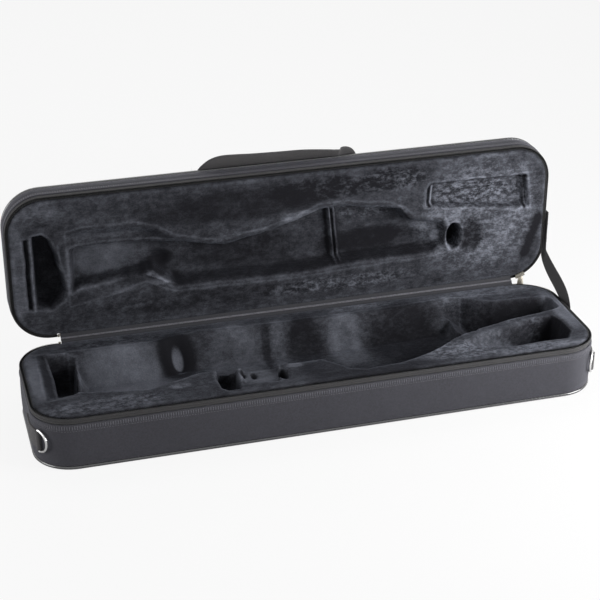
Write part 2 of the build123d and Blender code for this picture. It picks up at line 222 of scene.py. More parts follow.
base = Half("base", base_depth, Matrix(((1, 0, 0, 0), (0, 1, 0, 0), (0, 0, -1, rim_z), (0, 0, 0, 1))))
lid = Half("lid", lid_depth, Matrix(((1, 0, 0, 0), (0, 0, 1, rim_y), (0, -1, 0, lid_middle), (0, 0, 0, 1))))
halves = (base, lid)


def place_in_object(wire):
    """The place of a point of the object, for a pattern to follow."""
    return wire.node("ShaderNodeTexCoord", out=3)


def mottle(at, size, detail=3.0, roughness=0.55, squeeze=(1, 1, 1)):
    """Noise from 0 to 1 whose blotches are about that size in metres."""
    scale = [share / size for share in squeeze]
    scaled = at.node("ShaderNodeVectorMath", {"operation": "MULTIPLY"}, {0: at, 1: scale})
    return at.node("ShaderNodeTexNoise", {"noise_dimensions": "3D"}, {
        "Vector": scaled, "Scale": 1.0, "Detail": detail, "Roughness": roughness})


def raised(height, distance, strength, surface):
    """Feeds a height pattern to a surface's normal."""
    sockets = {"Height": height, "Distance": distance, "Strength": strength}
    height.node("ShaderNodeBump", sockets=sockets).feed(surface, "Normal")


ply, ply_surface, wire = new_finish("poplar_ply", {"Roughness": 0.7})
at = place_in_object(wire)
grain = mottle(at, 6 * mm, 4.0, squeeze=(0.08, 1, 1))
grain.between(0.3, 0.75).shade((0.28, 0.19, 0.11), (0.45, 0.34, 0.22)).feed(ply_surface, "Base Color")
raised(grain, 0.2 * mm, 0.3, ply_surface)
for half in halves:
    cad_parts[f"{half.name}_shell"].data.materials[0] = ply


# The side covers: black woven nylon with a foam backing, glued round each shell and sewn to
# the zip's tape, so that it swells a little between seam and piping. The lid's right end
# wall bulges the most, above the stay.
cover_top = 16.1 * mm
cover_bottom_up = 5.0 * mm      # where the piping starts, above the half's outer face
cover_thick = 1.4 * mm
cover_swell = 0.9 * mm
seam_row = 17.9 * mm
seam_dip = 0.35 * mm
end_bulge = 3.2 * mm
bulge_middle, bulge_half = -52 * mm, 46 * mm      # across the case
thread_pitch = 0.62 * mm
nylon_dark, nylon_light = (0.013, 0.013, 0.0168), (0.054, 0.053, 0.0655)
straight_x = half_length - corner
straight_y = half_width - corner
quarter = math.pi / 2 * corner
whole_way = 4 * (straight_x + straight_y + quarter)
legs = (
    (straight_x, (1, 0)), None, (2 * straight_y, (0, -1)), None, (2 * straight_x, (-1, 0)), None,
    (2 * straight_y, (0, 1)), None, (straight_x, (1, 0)),
)
corner_steps = 14
straight_step = 12 * mm


def way_along(x, y):
    """How far round the plan a point lies, from the middle of the back wall to the right."""
    dx, dy = abs(x) - straight_x, abs(y) - straight_y
    if dx > 0 and dy > 0:
        to_corner = straight_x + math.atan2(dx, dy) * corner
    elif dy > dx:
        to_corner = abs(x)
    else:
        to_corner = straight_x + quarter + (straight_y - abs(y))
    if y < 0:
        to_corner = whole_way / 2 - to_corner
    return to_corner if x >= 0 else whole_way - to_corner


def outside(x, y):
    """How far a point lies outside the plan's outline, or inside it where negative."""
    dx, dy = abs(x) - straight_x, abs(y) - straight_y
    return math.hypot(max(dx, 0), max(dy, 0)) + min(max(dx, dy), 0) - corner


def carried_round(section, opened_by=0.0):
    """A cross-section of (outwards, depth) points carried round the plan, from the middle of
    the back wall, or from as far to its right as it is left open, with a UV map in metres."""
    shape = bmesh.new()
    ring = [shape.verts.new((opened_by, half_width + out, depth)) for out, depth in section]
    edges = [shape.edges.new(pair) for pair in zip(ring, ring[1:] + ring[:1])]
    front = ring + edges
    for index, leg in enumerate(legs):
        if leg:
            length, (step_x, step_y) = leg
            length -= opened_by if index in (0, len(legs) - 1) else 0
            steps = max(2, round(length / straight_step))
            move = Vector((step_x, step_y, 0)) * length / steps
            made = bmesh.ops.spin(shape, geom=front, dvec=move, angle=0, steps=steps, axis=(0, 0, 1))
        else:
            sign_x = 1 if index in (1, 3) else -1
            sign_y = 1 if index in (1, 7) else -1
            centre = (sign_x * straight_x, sign_y * straight_y, 0)
            made = bmesh.ops.spin(shape, geom=front, cent=centre, angle=-math.pi / 2, steps=corner_steps,
                                  axis=(0, 0, 1))
        front = made["geom_last"]
    if opened_by:
        bmesh.ops.holes_fill(shape, edges=[edge for edge in shape.edges if edge.is_boundary])
    else:
        bmesh.ops.remove_doubles(shape, verts=shape.verts, dist=0.01 * mm)
    points = np.array(section)
    across = np.concatenate(([0], np.cumsum(np.hypot(*np.diff(points, axis=0).T))))
    cloth = shape.loops.layers.uv.new("cloth")
    for face in shape.faces:
        along = [way_along(loop.vert.co.x, loop.vert.co.y) for loop in face.loops]
        wraps = max(along) - min(along) > whole_way / 2
        for loop, way in zip(face.loops, along):
            co = loop.vert.co
            nearest = np.hypot(points[:, 0] - outside(co.x, co.y), points[:, 1] - co.z).argmin()
            loop[cloth].uv = (way + (whole_way if wraps and way < whole_way / 2 else 0), across[nearest])
    return shape


def finished(shape, name, finish, half=None, body=None, crease=42):
    """Makes a piece of a drawn shape. A shape drawn in a half's plan is set in its place."""
    if half:
        bmesh.ops.transform(shape, matrix=half.place, verts=shape.verts)
    bmesh.ops.recalc_face_normals(shape, faces=shape.faces)
    mesh = bpy.data.meshes.new(name)
    shape.to_mesh(mesh)
    shape.free()
    mesh.materials.append(finish)
    mesh.shade_smooth()
    mesh.set_sharp_from_angle(angle=math.radians(crease))
    piece = bpy.data.objects.new(name, mesh)
    bpy.context.collection.objects.link(piece)
    if half or body:
        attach(piece, body or half.name)
    return piece


def in_millimetres(at, count):
    """The first coordinates of a place, in millimetres."""
    split = at.tree.nodes.new("ShaderNodeSeparateXYZ")
    at.tree.links.new(at.socket, split.inputs[0])
    return [Wire(at.tree, split.outputs[axis]) * (1 / mm) for axis in range(count)]


def on_cloth(wire, axes=None):
    """The ways along and across cloth, in millimetres: by the piece's UV map, or by two of
    the object's axes where they are given."""
    if axes:
        ways = in_millimetres(place_in_object(wire), 3)
        return [ways[axis] for axis in axes]
    return in_millimetres(wire.node("ShaderNodeUVMap", {"uv_map": "cloth"}), 2)


def weave(along, across):
    """The height, 0 to 1, of a plain weave of the nylon's threads."""
    one, other = (way.math("SINE", way * (math.pi / (thread_pitch / mm))) for way in (along, across))
    over = one * other > 0.0
    return one.math("ABSOLUTE", one) * over + other.math("ABSOLUTE", other) * (1 - over)


def woven(name, dark=nylon_dark, light=nylon_light, axes=None):
    """Woven cloth: threads over and under each other, slubs, and a soft dusty sheen."""
    finish, surface, wire = new_finish(name, {
        "Sheen Weight": 0.25, "Sheen Roughness": 0.45, "Sheen Tint": (0.75, 0.76, 0.85, 1),
        "Specular IOR Level": 0.35})
    threads = weave(*on_cloth(wire, axes))
    at = place_in_object(wire)
    slub = mottle(at, 2.0 * mm, 3.0).between(0.25, 0.75)
    wear = mottle(at, 70 * mm, 2.0)
    (threads * 0.34 + slub * 0.55 + wear * 0.3 - 0.12).shade(dark, light).feed(surface, "Base Color")
    (0.62 + slub * 0.25).feed(surface, "Roughness")
    raised(threads * 0.7 + slub * 0.5, 0.16 * mm, 0.55, surface)
    return finish


nylon = woven("black_nylon")
for half in halves:
    top, bottom = cover_top, half.depth - cover_bottom_up
    middle = (seam_row + bottom) / 2
    cover_section = [
        (-0.3 * mm, top), (0.3 * mm, top + 0.7 * mm), (0.35 * mm - seam_dip, seam_row),
        (0.35 * mm, seam_row + 0.9 * mm), (cover_swell * 0.8, (seam_row + middle) / 2), (cover_swell, middle),
        (cover_swell * 0.75, (middle + bottom) / 2), (0.2 * mm, bottom - 1.5 * mm), (-0.5 * mm, bottom),
        (-cover_thick, bottom), (-cover_thick, top),
    ]
    cover_shape = carried_round(cover_section)
    if half is lid:
        for vert in cover_shape.verts:
            along_wall = min(abs(vert.co.y - bulge_middle) / bulge_half, 1)
            down_wall = math.sin(math.pi * (vert.co.z - top) / (bottom - top))
            if vert.co.x > straight_x and down_wall > 0:
                vert.co.x += end_bulge * math.cos(math.pi / 2 * along_wall) ** 2 * down_wall
    cover = finished(cover_shape, f"{half.name}_side_cloth", nylon, half, crease=60)
    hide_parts(f"{half.name}_side_cover")


# The seam's thread: a row of lockstitches round the top of each side cover, black bonded
# nylon a little lighter than the cloth. Each stitch dips into the cover at its two ends.
stitch_pitch = 3.3 * mm
stitch_length = 2.5 * mm
stitch_round = 0.26 * mm
hinge_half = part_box("base_hinge_leaf")[1].x


def station(way, out):
    """The place on the plan this far round it and out from it, and the way the plan heads."""
    way %= whole_way
    mirrored = way > whole_way / 2
    half_way = whole_way - way if mirrored else way
    front = half_way > whole_way / 4
    quarter_way = whole_way / 2 - half_way if front else half_way
    if quarter_way < straight_x:
        x, y, turn = quarter_way, half_width + out, 0.0
    elif quarter_way < straight_x + quarter:
        turn = (quarter_way - straight_x) / corner
        x = straight_x + (corner + out) * math.sin(turn)
        y = straight_y + (corner + out) * math.cos(turn)
    else:
        x, y, turn = half_length + out, straight_y - (quarter_way - straight_x - quarter), math.pi / 2
    heading = -turn
    if front:
        y, heading = -y, math.pi - heading
    if mirrored:
        x, heading = -x, -heading
    return x, y, heading


def repeated(template, places):
    """Copies a small shape to each place, and puts the copies in one shape."""
    stencil = bpy.data.meshes.new("stencil")
    template.to_mesh(stencil)
    template.free()
    copies = bmesh.new()
    for place in places:
        stencil.transform(place)
        copies.from_mesh(stencil)
        stencil.transform(place.inverted())
    bpy.data.meshes.remove(stencil)
    return copies


def placed(x, y, z, turn=0.0, axis="Z"):
    """The matrix that turns a small shape about an axis and sets it at a place."""
    return Matrix.Translation((x, y, z)) @ Matrix.Rotation(turn, 4, axis)


def laid_down(shape):
    """Turns a shape that stands upright, so that it lies along x."""
    bmesh.ops.rotate(shape, cent=(0, 0, 0), matrix=Matrix.Rotation(math.pi / 2, 3, "Y"), verts=shape.verts)


def one_stitch(length, half_thick):
    """A short thread, thick in its middle, lying along x with its rounded side to y."""
    shape = bmesh.new()
    bmesh.ops.create_uvsphere(shape, u_segments=6, v_segments=5, radius=1)
    laid_down(shape)
    bmesh.ops.scale(shape, vec=(length / 2, half_thick, half_thick * 1.15), verts=shape.verts)
    return shape


def round_stations(start, end, pitch, out, depth):
    """Evenly spaced places along the plan, each turned to head along it."""
    count = int((end - start) / pitch)
    for index in range(count + 1):
        x, y, heading = station(start + index * (end - start) / count, out)
        yield placed(x, y, depth, heading)


thread, thread_surface, wire = new_finish("bonded_thread", {
    "Sheen Weight": 0.3, "Sheen Roughness": 0.3, "Specular IOR Level": 0.5})
at = place_in_object(wire)
strands = mottle(at, 0.5 * mm, 2.0)
strands.shade((0.05, 0.049, 0.058), (0.17, 0.168, 0.195)).feed(thread_surface, "Base Color")
(0.45 + strands * 0.2).feed(thread_surface, "Roughness")
raised(strands, 0.05 * mm, 0.5, thread_surface)
for half in halves:
    places = round_stations(hinge_half, whole_way - hinge_half, stitch_pitch, 0.08 * mm, seam_row)
    row = repeated(one_stitch(stitch_length, stitch_round), places)
    finished(row, f"{half.name}_seam_stitches", thread, half, crease=80)


# The large outer panels: the same nylon, flat under the base, and on the lid lightly padded
# so that it crowns. Their edges go into the seam with the piping.
panel_inset = 3.7 * mm
panel_thick = 1.4 * mm
panel_crown = {"base": 0.0, "lid": 1.3 * mm}
panel_dip = 0.2 * mm            # at the very edge
panel_rise = 30 * mm            # from the edge to where the panel is level
panel_columns, panel_rows = 96, 28


def plan_sheet(inset, columns, rows):
    """A flat grid over the plan, drawn in by an inset and with its corners rounded."""
    reach = Vector((half_length - inset, half_width - inset))
    radius = corner - inset
    shape = bmesh.new()
    bmesh.ops.create_grid(shape, x_segments=columns, y_segments=rows, size=1)
    for vert in shape.verts:
        x, y = vert.co.x * reach.x, vert.co.y * reach.y
        dx, dy = (abs(x) - straight_x) / radius, (abs(y) - straight_y) / radius
        if dx > 0 and dy > 0:
            x = math.copysign(straight_x + radius * dx * math.sqrt(1 - dy * dy / 2), x)
            y = math.copysign(straight_y + radius * dy * math.sqrt(1 - dx * dx / 2), y)
        vert.co.x, vert.co.y = x, y
    return shape


panel_cloth = {"base": woven("underside_nylon", axes=(0, 1)), "lid": woven("panel_nylon", axes=(0, 2))}
for half in halves:
    sheet = plan_sheet(panel_inset, panel_columns, panel_rows)
    for vert in sheet.verts:
        inside = min(-outside(vert.co.x, vert.co.y) - panel_inset, panel_rise) / panel_rise
        crown = panel_crown[half.name] * inside * (2 - inside)
        vert.co.z = half.depth - panel_dip * (1 - inside) + crown
    for part in bmesh.ops.extrude_face_region(sheet, geom=sheet.faces[:])["geom"]:
        if isinstance(part, bmesh.types.BMVert):
            part.co.z = half.depth - panel_thick
    panel = finished(sheet, f"{half.name}_panel", panel_cloth[half.name], half)
    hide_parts(f"{half.name}_face_cover")


# The piping: glossy vinyl wrapped over a cord, and sewn into the seam round the outer edge
# of each half. The stitches beside it pull small dents into the vinyl.
piping_radius = 2.2 * mm
piping_inset = 1.2 * mm
piping_up = 2.6 * mm
piping_dent = 5.0              # millimetres from dent to dent
piping_sides = 14
vinyl, vinyl_surface, wire = new_finish("black_vinyl", {
    "Specular IOR Level": 0.7, "Coat Roughness": 0.07, "Coat Weight": 1.0})
along, _ = on_cloth(wire)
dents = along.math("SINE", along * (2 * math.pi / piping_dent)).between(-1.0, 1.0)
scuff = mottle(place_in_object(wire), 9 * mm, 4.0)
tone = scuff * 0.8 + dents * 0.15
tone.shade((0.012, 0.012, 0.014), (0.038, 0.038, 0.043)).feed(vinyl_surface, "Base Color")
(0.14 + scuff * 0.2).feed(vinyl_surface, "Roughness")
raised(dents * 0.8 + scuff * 0.3, 0.12 * mm, 0.5, vinyl_surface)
for half in halves:
    centre_out, centre_depth = -piping_inset, half.depth - piping_up
    piping_section = [
        (centre_out - piping_radius * math.cos(turn), centre_depth + piping_radius * math.sin(turn))
        for turn in (2 * math.pi * step / piping_sides for step in range(piping_sides))
    ]
    shape = carried_round(piping_section)
    piping = finished(shape, f"{half.name}_vinyl_piping", vinyl, half, crease=60)
    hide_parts(f"{half.name}_piping")


# The hem: the side cover's upper edge, folded twice over the zip's tape and pressed flat. It
# stops where the hinge begins. Close upright stitches bind it, and pull the cloth between
# them into small ribs.
hinge_end = half_length - corner - 6 * mm
zip_ends = (hinge_end, whole_way - hinge_end)
hem_points = (
    # outwards and below the rim, in millimetres
    (-1.7, 9.5), (-0.2, 9.3), (0.4, 9.7), (0.6, 10.5), (0.62, 12.5), (0.6, 14.4), (0.5, 15.6), (0.1, 16.4),
    (-0.6, 16.5), (-1.7, 16.5),
)
hem_section = [(out * mm, depth * mm) for out, depth in hem_points]
hem_cloth = woven("folded_nylon", (0.015, 0.015, 0.019), (0.066, 0.065, 0.079))
tick_pitch = 3.0 * mm
tick_length = 5.6 * mm
tick_round = 0.5 * mm
tick_out = 0.5 * mm
tick_depth = 13.1 * mm
upright = Matrix.Rotation(math.pi / 2, 4, "Y")
for half in halves:
    shape = carried_round(hem_section, hinge_end)
    hem = finished(shape, f"{half.name}_folded_hem", hem_cloth, half, crease=60)
    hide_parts(f"{half.name}_hem")
    places = [place @ upright for place in round_stations(*zip_ends, tick_pitch, tick_out, tick_depth)]
    ticks = repeated(one_stitch(tick_length, tick_round), places)
    finished(ticks, f"{half.name}_upright_stitches", thread, half, crease=80)


# The zip's tape: knitted polyester, folded over the rim so that its inner edge runs under
# the plush and carries the coil, and its outer edge down into a groove beside the hem. A
# second fold lies in the middle of its outer side.
tape_points = (
    # outwards and below the rim, in millimetres, from the plush round the rim to the groove
    (-5.3, 3.0), (-3.6, 2.8), (-2.2, 2.8), (-1.1, 2.6), (-0.5, 2.1), (0.0, 2.4), (0.1, 3.2), (-0.1, 4.0),
    (-0.75, 4.6), (-0.1, 5.2), (0.15, 6.0), (0.05, 6.8), (-0.3, 7.5), (-1.6, 8.0), (-1.9, 12.0), (-2.6, 12.9),
    (-5.3, 12.9),
)
tape_section = [(out * mm, depth * mm) for out, depth in tape_points]
tape_rib = 1.1                # millimetres from rib to rib
tape, tape_surface, wire = new_finish("zip_tape_knit", {"Sheen Weight": 0.2, "Specular IOR Level": 0.4})
along, across = on_cloth(wire)
slant = along.math("SINE", (along + across * 0.8) * (2 * math.pi / tape_rib)).between(-1.0, 1.0)
knit = mottle(place_in_object(wire), 0.8 * mm, 2.0)
clear_of_lip_shade = across.between(3.4, 5.6)      # the inner edge, beside the plush, is painted black as shade under the plush's lip
tone = (slant * 0.45 + knit * 0.5) * clear_of_lip_shade
tone.shade((0.006, 0.006, 0.0065), (0.044, 0.042, 0.045)).feed(tape_surface, "Base Color")
(0.6 + knit * 0.3).feed(tape_surface, "Roughness")
raised(slant + knit * 0.4, 0.12 * mm, 0.6, tape_surface)
for half in halves:
    shape = carried_round(tape_section, hinge_end)
    tape_piece = finished(shape, f"{half.name}_knit_tape", tape, half, crease=60)
    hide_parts(f"{half.name}_zip_tape")


# The coil: nylon wire wound in narrow turns and sewn on the tape's edge, one turn for each
# tooth. The two halves' turns interlock when the slider has passed.
coil_inset = 2.2 * mm
coil_depth = 1.35 * mm
coil_pitch = 1.45 * mm
coil_radius = 0.8 * mm
coil_wire = 0.34 * mm
coil_lean = math.radians(12)
nylon_wire, nylon_surface, wire = new_finish("nylon_wire", {"Specular IOR Level": 0.6})
cloudy = mottle(place_in_object(wire), 3 * mm, 2.0)
cloudy.shade((0.006, 0.006, 0.007), (0.018, 0.018, 0.020)).feed(nylon_surface, "Base Color")
(0.25 + cloudy * 0.2).feed(nylon_surface, "Roughness")
for half in halves:
    turn = bmesh.new()
    bmesh.ops.create_circle(turn, segments=5, radius=coil_wire)
    laid_down(turn)
    bmesh.ops.translate(turn, vec=(0, coil_radius, 0), verts=turn.verts)
    bmesh.ops.spin(turn, geom=turn.verts[:] + turn.edges[:], cent=(0, 0, 0), axis=(1, 0, 0), dvec=(0, 0, 0),
                   angle=2 * math.pi, steps=9, use_merge=True)
    bmesh.ops.rotate(turn, cent=(0, 0, 0), matrix=Matrix.Rotation(coil_lean, 3, "Z"), verts=turn.verts)
    coil_shape = repeated(turn, round_stations(*zip_ends, coil_pitch, -coil_inset, coil_depth))
    coil = finished(coil_shape, f"{half.name}_coil_turns", nylon_wire, half, crease=80)
    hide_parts(f"{half.name}_zip_coil")


# The stops: small clamps of plated brass at the two ends of each coil, pressed over the
# tape. The solids have their shape.
stop_metal, stop_surface, wire = new_finish("plated_brass", {"Metallic": 1.0})
rub = mottle(place_in_object(wire), 1.2 * mm, 4.0)
rub.shade((0.42, 0.38, 0.31), (0.66, 0.61, 0.52)).feed(stop_surface, "Base Color")
(0.28 + rub * 0.25).feed(stop_surface, "Roughness")
raised(rub, 0.03 * mm, 0.4, stop_surface)
for half in halves:
    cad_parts[f"{half.name}_zip_stops"].data.materials[0] = stop_metal


# The hinge: a strip of the cover's cloth on each back wall, doubled at its upper edge, with
# one row of stitches below the zip's line. The strips meet in a rolled binding, on the axis
# that the lid turns about.
leaf_stitch_depth = 20.5 * mm
leaf_stitch_out = 1.25 * mm
leaf_stitch_half = hinge_half - 3 * mm
binding_low, binding_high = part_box("hinge_binding")
binding_middle = (binding_low + binding_high) / 2
binding_radius = (binding_high.z - binding_low.z) / 2
binding_rib = 1.2             # millimetres from rib to rib
binding_steps = 120
leaf_cloth = {"base": woven("base_leaf_nylon", axes=(0, 2)), "lid": woven("lid_leaf_nylon", axes=(0, 1))}
for half in halves:
    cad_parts[f"{half.name}_hinge_leaf"].data.materials[0] = leaf_cloth[half.name]
    places = [placed(x, half_width + leaf_stitch_out, leaf_stitch_depth)
              for x in np.arange(-leaf_stitch_half, leaf_stitch_half, stitch_pitch)]
    row = repeated(one_stitch(stitch_length, stitch_round), places)
    finished(row, f"{half.name}_hinge_stitches", thread, half, crease=80)

binding_cloth, binding_surface, wire = new_finish("rolled_binding", {
    "Sheen Weight": 0.3, "Specular IOR Level": 0.45})
along, _ = on_cloth(wire, axes=(0, 1))
ribs = along.math("SINE", along * (2 * math.pi / binding_rib)).between(-1.0, 1.0)
lint = mottle(place_in_object(wire), 2 * mm, 3.0)
tone = ribs * 0.35 + lint * 0.6
tone.shade((0.04, 0.04, 0.047), (0.15, 0.148, 0.17)).feed(binding_surface, "Base Color")
(0.55 + lint * 0.2).feed(binding_surface, "Roughness")
raised(ribs + lint * 0.5, 0.15 * mm, 0.5, binding_surface)
roll = bmesh.new()
bmesh.ops.create_circle(roll, segments=14, radius=binding_radius * 0.97, cap_ends=True)
laid_down(roll)
bmesh.ops.translate(roll, vec=(binding_low.x, 0, 0), verts=roll.verts)
stride = (binding_high.x - binding_low.x) / binding_steps
bmesh.ops.spin(roll, geom=roll.verts[:] + roll.edges[:] + roll.faces[:], cent=(0, 0, 0), axis=(1, 0, 0),
               dvec=(stride, 0, 0), angle=0, steps=binding_steps)
for vert in roll.verts:
    slack = 1 + 0.03 * noise.noise((vert.co.x / (9 * mm), 0, 0)) + 0.02 * noise.noise(vert.co / (4 * mm))
    vert.co.y *= slack
    vert.co.z *= slack
bmesh.ops.translate(roll, vec=(0, binding_middle.y, binding_middle.z), verts=roll.verts)
binding = finished(roll, "hinge_rolled_binding", binding_cloth, body="base", crease=60)
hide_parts("hinge_binding")


# The plush blocks: foam pressed to shape and covered in one piece of charcoal crushed plush,
# so every edge is soft, walls slope, and the pile lies light or dark as it was last stroked.
# Painted light and shade lie over the pile: highlights on lips and ridges, shade down steep
# walls, in deep hollows and at the edges, and the stay's shadow on the lid.
# Their deep forms hold the instrument, its bell and its mouthpiece.
plush_inset = 3.8 * mm
plush_back_inset = 5.2 * mm
plush_lip = 4.6               # the radius of the block's upper edge, in millimetres
plush_seam = 12.9 * mm
block_inset = 5.9 * mm
block_bottom_up = 6 * mm
plush_floor = 7               # the least foam that is left under a pocket, in millimetres
pocket_wander = 1.4           # how far the pockets' edges stray, in millimetres
steep_wall = 20               # a narrower wall than this gets a stroke of painted shade, in millimetres
deep_hollow = 10              # a deeper hollow than this starts at the block's face and has a painted highlight round its rim
plush_columns, plush_rows = 520, 140
plush_colours = (0.0080, 0.0080, 0.0105), (0.250, 0.264, 0.312)
level = ((0, 1.0),)
pocket_shapes = {
    # each an outline on the plan, its depth, the widths of its front and back walls, and for a
    # sloping floor the places along the case with their shares of the depth, in millimetres
    "base": (
        # the roll beside the bell, the bell, the body's well, and the bay round its divider
        ([(-338, -48), (-300, -44), (-300, 62), (-336, 66)], 7, 14, 14, level),
        ([(-324, -44), (-302, -39), (-292, 0), (-290, 58), (-306, 62), (-325, 62), (-323, 30), (-323, -10)],
         54, 5, 5, level),
        ([(-302, -37), (-263, -45), (-216, -54), (-196, -47), (-179, -41), (-150, -31), (-112, -33),
          (-75, -35), (-50, -36), (-18, -39), (3, -37), (16, -50), (31, -70), (50, -77), (74, -75),
          (93, -73), (115, -68), (139, -58), (161, -46), (178, -34), (200, -22), (218, -20), (226, 73),
          (207, 76), (145, 72), (88, 70), (34, 71), (-20, 71), (-74, 72), (-126, 75), (-160, 70),
          (-195, 62), (-257, 63), (-300, 65)], 41, 9, 24, level),
        ([(176, -22), (198, -22), (244, -9), (272, -2), (303, 3), (336, 10), (345, 14), (346, 36),
          (342, 44), (308, 48), (267, 50), (255, 57), (229, 73), (207, 76), (176, 74)],
         46, 6, 9, ((178, 0), (236, 1.0))),
        ([(180, -58), (233, -70), (251, -72), (289, -69), (322, -70), (332, -54), (331, -26), (327, -8),
          (301, -9), (265, -19), (241, -26), (219, -30), (190, -40)],
         46, 6, 6, ((188, 0.02), (222, 0.32), (262, 0.6), (304, 1.0))),
        # the two hollows for keys at the front
        ([(-133, -46), (-128, -30), (-104, -32), (-107, -60), (-110, -82), (-125, -82), (-132, -74)],
         30, 3, 3, level),
        ([(-105, -72), (-60, -76), (-52, -34), (-98, -28)], 6, 3, 3, level),
    ),
    "lid": (
        # the bell's slot and pocket, the flare round the trough, the trough and the recess
        ([(-338, -42), (-332, -43), (-332, 55), (-338, 53)], 12, 2.5, 2.5, level),
        ([(-328, -46), (-316, -47), (-306, -38), (-296, -12), (-288, 34), (-294, 46), (-309, 56),
          (-328, 54)], 28, 4, 4, level),
        ([(-284, -46), (-266, -50), (-200, -49), (-172, -42), (-150, -26), (-90, -11), (-36, -20),
          (10, -32), (40, -45), (78, -45), (135, -37), (156, -27), (170, -14), (214, -6), (222, 10),
          (220, 40), (200, 44), (100, 47), (15, 51), (-150, 49), (-188, 30), (-228, 42), (-284, 53)],
         8, 14, 14, level),
        ([(-282, -23), (-219, -25), (-148, -18), (-83, -6), (-36, -16), (14, -29), (41, -40), (75, -40),
          (150, -29), (166, -10), (212, -1), (218, 12), (216, 32), (202, 40), (97, 42), (15, 47),
          (-151, 44), (-178, 20), (-205, 24), (-282, 36)], 24, 7, 7, ((172, 1.0), (214, 0.5))),
        ([(187, -50), (192, -58), (327, -57), (334, -8), (186, -26)], 11, 4, 4, level),
    ),
}
hollows = {
    # round hollows: middle, half sizes, depth, and the width of the wall as a share
    "base": (
        ((-160, 57), (17, 13), 9, 0.9), ((-52, -61), (5.5, 13), 36, 0.4), ((-100, -44), (4.5, 9), 5, 0.8),
        ((-86, -47), (5, 9), 5, 0.8),
    ),
    "lid": (
        ((228, 21), (10, 19), 29, 0.3), ((-166, 12), (16, 12), 4, 0.9),
    ),
}
ridges = {
    # narrow ridges across a pocket: their two ends, height and half width
    "base": (),
    "lid": (
        ((57, -44), (65, 39), 9, 2.0), ((63, -44), (71, 39), 7, 1.8), ((-297, -26), (-295, 6), 3.5, 1.6),
        ((-287, -26), (-286, 6), 3.5, 1.6), ((-184, 24), (-152, 44), 6, 4.0),
        ((194, -56), (192, -27), 6, 2.6), ((322, -56), (328, -10), 6, 2.2),
    ),
}
pile_lie_and_painted_light = {
    # where the pile lies light or, below zero, dark, with painted light where light falls on the
    # block and painted shade in hollows and in the stay's shadow: middle, half sizes, strength,
    # and how much more or less than elsewhere it is crushed there
    "base": (
        ((-232, 30), (64, 44), 1.5, -0.4), ((-240, 76), (70, 9), -0.3, 0.6),
        ((-160, 56), (26, 22), -2.0, -0.2), ((-160, 57), (10, 8), 3.2, -0.2),
        ((-86, 50), (42, 38), 0.75, -0.1), ((-43, 54), (6, 28), -0.55, 0), ((-27, 54), (11, 34), 0.6, 0),
        ((8, 50), (24, 40), -0.8, 0), ((62, 44), (27, 42), 1.0, -0.1), ((95, 84), (52, 9), 0.9, 0.4),
        ((145, 30), (54, 60), -0.9, 0), ((268, 80), (96, 14), 0.9, 0.3), ((345, 14), (13, 74), 1.2, -0.3),
        ((-345, 10), (10, 66), 1.1, -0.2), ((-331, 10), (6, 56), -0.6, -0.2),
        ((-270, -74), (88, 18), 0.4, 0.6), ((-180, -57), (15, 7), 0.8, 0.4),
        ((-118, -72), (50, 10), -0.3, 0.0), ((56, -84), (96, 12), -0.8, -0.3),
        ((0, -62), (44, 22), -0.6, -0.2), ((176, -62), (50, 26), 0.85, 0.8),
        ((272, -82), (84, 10), 0.9, 0.5), ((246, -46), (54, 26), 0.9, 0.2),
        ((322, -36), (16, 36), -1.6, -0.2), ((290, 32), (66, 20), -0.7, 0), ((84, -40), (14, 7), 1.0, 0),
        ((-50, 0), (60, 22), -0.3, 0), ((-308, 8), (15, 56), 0.3, -0.2), ((-79, -52), (28, 24), 1.1, -0.3),
        ((-119, -58), (13, 26), -1.0, -0.2), ((-100, -43), (4, 8), -1.3, 0),
        ((-86, -46), (4.5, 8), -1.5, 0), ((-52, -61), (6, 14), -2.4, -0.3), ((-33, -44), (13, 6), 0.9, 0),
        ((268, -8), (70, 8), 0.1, 0.4),
    ),
    "lid": (
        ((-235, -39), (58, 10), 0.6, 0), ((-238, 2), (50, 26), 0.8, -0.2), ((-236, 37), (54, 8), 0.5, 0),
        ((-166, 12), (19, 14), -1.1, 0), ((-166, 34), (18, 6), 1.0, 0), ((-309, 4), (20, 52), -0.5, -0.2),
        ((-347, 0), (9, 90), 0.6, 0), ((-60, 14), (92, 26), -0.6, 0), ((20, -33), (32, 10), 0.9, 0.2),
        ((110, -24), (52, 14), 0.2, 0.5), ((110, 20), (72, 18), -1.1, 0), ((190, 6), (22, 10), 0.9, 0.1),
        ((205, 22), (7, 11), 1.2, 0), ((253, 22), (17, 27), -1.5, -0.1), ((228, 21), (9, 18), -2.0, -0.3),
        ((266, -8), (92, 96), 0.85, 0.5), ((258, -36), (62, 18), -0.4, 0.5),
        ((-320, -76), (34, 16), 0.4, 0.1), ((-70, -58), (130, 24), -0.7, -0.1),
        ((-120, 66), (160, 14), -0.5, 0.1), ((70, 68), (110, 12), 0.3, 0.6),
        ((50, -68), (80, 16), -0.9, 0.6), ((140, -70), (50, 18), -0.3, 0.8),
    ),
}
pile_and_shade_streaks = {
    # long narrow strokes of the pile, and of painted highlight and painted shade, such as the
    # stay's shadow on the lid and the lips of its recess: their two ends, half width and strength
    "base": (
        ((84, -36), (100, -50), 2.5, 0.9),
    ),
    "lid": (
        ((348, 8), (331, 58), 5.5, -2.6), ((-296, -30), (-294, 8), 1.6, 0.8),
        ((-220, 66), (-120, 60), 3, 0.5), ((189, -52), (187, -27), 1.4, 1.2),
        ((193, -54), (191, -26), 1.5, -2.0), ((197, -55), (195, -26), 1.4, 1.3),
        ((319, -54), (323, -10), 1.4, 1.1), ((323, -55), (327, -9), 1.6, -2.2),
        ((328, -55), (332, -9), 1.5, 1.3), ((195, -55), (326, -54), 2.2, -2.0),
        ((-150, -13), (-30, -22), 1.8, 0.5),
    ),
}


